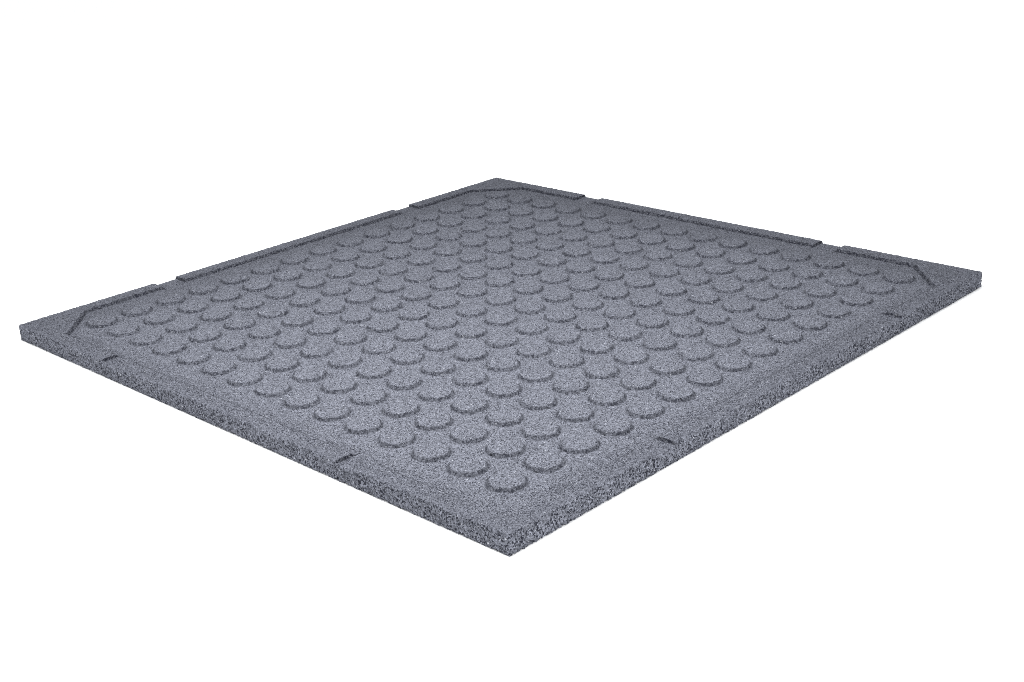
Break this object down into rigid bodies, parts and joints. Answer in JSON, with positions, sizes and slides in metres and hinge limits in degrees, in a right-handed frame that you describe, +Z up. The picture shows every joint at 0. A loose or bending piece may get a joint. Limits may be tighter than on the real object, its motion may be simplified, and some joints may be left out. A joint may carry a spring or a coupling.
{
  "type": "rubber floor tile",
  "caption": "Square tile of bonded rubber granulate, shown drain side up: low round studs in straight rows inside a raised rim with drain gaps and cut corners.",
  "frame": {"origin": "middle of the smooth face that the tile lies on", "axes": "+Z up through the thickness, out of the studded drain side; +X and +Y square to the side faces"},
  "size_m": [1, 1, 0.025],
  "materials": {
    "rubber_granulate": "matt, fine granular"
  },
  "bodies": {
    "root": {"rubber_tile": "rubber_granulate"}
  },
  "joints": []
}
